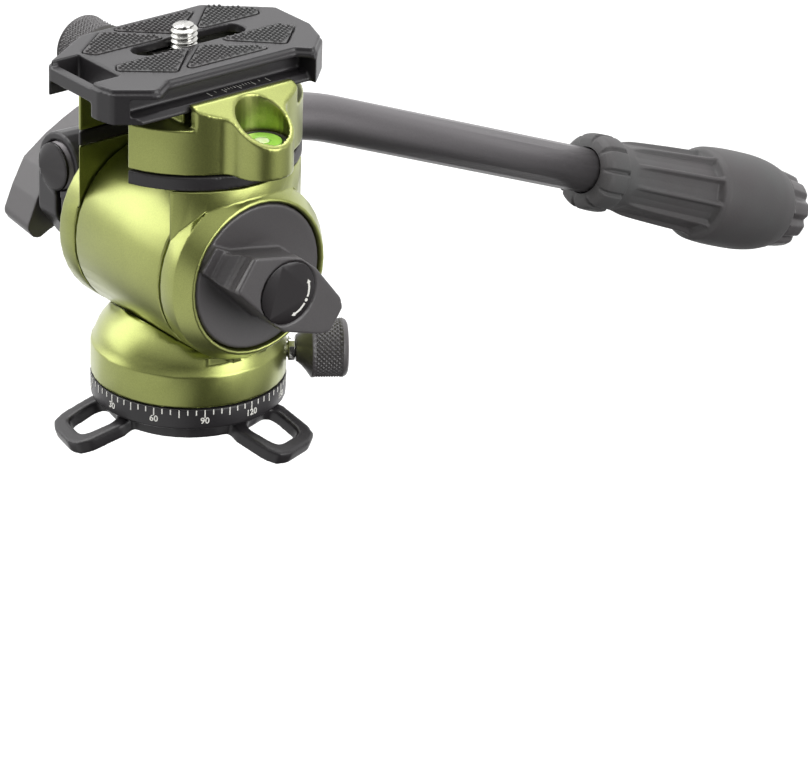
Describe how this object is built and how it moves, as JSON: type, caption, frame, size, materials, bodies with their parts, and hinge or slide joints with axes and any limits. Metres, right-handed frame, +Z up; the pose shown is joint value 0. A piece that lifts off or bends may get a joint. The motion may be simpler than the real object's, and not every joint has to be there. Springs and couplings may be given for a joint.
{
  "type": "fluid video head",
  "caption": "Compact fluid head with a dial-marked pan base, tilting drag barrel, side-opening plate clamp, bubble level and a bent pan handle with a fluted grip.",
  "frame": {"origin": "on the pan axis, in the plane of the base hub's underside, at the mouth of the 3/8 inch socket", "axes": "+Z up along the pan axis, +Y towards the pan handle's grip at rest, X along the tilt axis with the tilt lock knob on +X; the lens side faces -Y"},
  "size_m": [0.0972, 0.2695, 0.1247],
  "materials": {
    "green_anodised": "satin anodised aluminium, olive green",
    "black_anodised": "satin anodised aluminium, black",
    "black_tube": "satin black coated aluminium tube",
    "black_polymer": "fine textured moulded nylon, black",
    "black_rubber": "moulded rubber, black",
    "bright_steel": "turned steel",
    "bearing_bronze": "turned bearing bronze",
    "drag_polymer": "acetal friction disc",
    "level_liquid": "clear vial of green liquid",
    "level_gas": "air bubble"
  },
  "bodies": {
    "base": {"strap_loop_plate": "black_anodised", "pan_dial": "black_anodised", "pan_spindle": "bright_steel", "pan_thrust_washer": "bearing_bronze", "pan_nut": "bright_steel", "pan_drag_ring": "drag_polymer"},
    "pan": {"pan_housing": "green_anodised", "drag_barrel": "green_anodised", "barrel_screw_1": "bright_steel", "barrel_screw_2": "bright_steel", "barrel_screw_3": "bright_steel", "barrel_screw_4": "bright_steel", "barrel_cover": "black_anodised", "left_bush": "bearing_bronze", "right_bush": "bearing_bronze", "fixed_drag_disc_1": "drag_polymer", "fixed_drag_disc_2": "drag_polymer", "fixed_drag_disc_3": "drag_polymer", "drag_spring_washer": "bright_steel"},
    "pan_shoe": {"pan_brake_shoe": "bearing_bronze"},
    "pan_lock": {"pan_lock_screw": "bright_steel", "pan_lock_knob": "black_polymer"},
    "tilt": {"turning_drag_disc_1": "bright_steel", "turning_drag_disc_2": "bright_steel", "tilt_shaft": "bright_steel", "left_cheek": "green_anodised", "right_cheek": "green_anodised", "frame_spacer": "black_anodised", "frame_dowel_1": "bright_steel", "frame_dowel_2": "bright_steel", "clamp_body": "green_anodised", "level_cup": "black_anodised", "level_vial": "level_liquid", "level_bubble": "level_gas", "guide_pin_front": "bright_steel", "guide_pin_back": "bright_steel", "frame_rosette": "bright_steel"},
    "tilt_lock": {"tilt_lock_knob": "black_polymer", "tilt_knob_label": "black_polymer", "tilt_lock_screw": "bright_steel"},
    "clamp_jaw": {"clamp_jaw": "green_anodised"},
    "clamp_knob": {"clamp_screw": "bright_steel", "clamp_knob": "black_polymer"},
    "plate": {"quick_release_plate": "black_anodised", "rubber_pad_front_left": "black_rubber", "rubber_pad_front_right": "black_rubber", "rubber_pad_middle_left": "black_rubber", "rubber_pad_middle_right": "black_rubber", "rubber_pad_back_left": "black_rubber", "rubber_pad_back_right": "black_rubber"},
    "carriage": {"screw_carriage": "bright_steel"},
    "camera_screw": {"camera_screw": "bright_steel"},
    "handle": {"handle_tube": "black_tube", "handle_clamp": "black_anodised", "handle_end_plug": "black_polymer", "handle_rosette": "bright_steel", "handle_grip": "black_rubber", "grip_end_cap": "black_polymer"},
    "handle_lock": {"handle_lock_knob": "black_polymer", "handle_bolt": "bright_steel"}
  },
  "joints": [
    {"name": "pan_turn", "type": "hinge", "parent": "base", "child": "pan", "pos_m": [0, 0, 0], "axis": [0, 0, 1], "continuous": true},
    {"name": "pan_lock_turn", "type": "hinge", "parent": "pan", "child": "pan_lock", "pos_m": [0.01314, 0.01948, 0.0143], "axis": [-0.5592, -0.829, 0], "range_deg": [0, 90]},
    {"name": "pan_shoe_slide", "type": "slide", "parent": "pan", "child": "pan_shoe", "axis": [-0.5592, -0.829, 0], "range_m": [0, 0.0002]},
    {"name": "tilt_turn", "type": "hinge", "parent": "pan", "child": "tilt", "pos_m": [0, 0, 0.0429], "axis": [1, 0, 0], "range_deg": [-60, 80]},
    {"name": "tilt_lock_turn", "type": "hinge", "parent": "tilt", "child": "tilt_lock", "pos_m": [0.0229, 0, 0.0429], "axis": [1, 0, 0], "range_deg": [0, 180]},
    {"name": "clamp_knob_turn", "type": "hinge", "parent": "clamp_jaw", "child": "clamp_knob", "pos_m": [-0.0328, 0, 0.0782], "axis": [-1, 0, 0], "range_deg": [0, 1080]},
    {"name": "clamp_jaw_slide", "type": "slide", "parent": "tilt", "child": "clamp_jaw", "axis": [-1, 0, 0], "range_m": [0, 0.0021]},
    {"name": "plate_slide", "type": "slide", "parent": "tilt", "child": "plate", "axis": [0, 1, 0], "range_m": [-0.0055, 0.015]},
    {"name": "screw_carriage_slide", "type": "slide", "parent": "plate", "child": "carriage", "axis": [0, 1, 0], "range_m": [-0.01, 0.013]},
    {"name": "camera_screw_turn", "type": "hinge", "parent": "carriage", "child": "camera_screw", "pos_m": [-0.0015, -0.001, 0.089], "axis": [0, 0, 1], "continuous": true},
    {"name": "handle_turn", "type": "hinge", "parent": "tilt", "child": "handle", "pos_m": [-0.0262, 0, 0.0429], "axis": [1, 0, 0], "range_deg": [-15, 38]},
    {"name": "handle_lock_turn", "type": "hinge", "parent": "handle", "child": "handle_lock", "pos_m": [-0.0431, 0, 0.0429], "axis": [-1, 0, 0], "range_deg": [0, 720]}
  ],
  "couplings": [
    {"joint": "pan_lock_turn", "follows": "pan_shoe_slide", "rad_per_m": 7853.9},
    {"joint": "clamp_knob_turn", "follows": "clamp_jaw_slide", "rad_per_m": 8975.9}
  ]
}
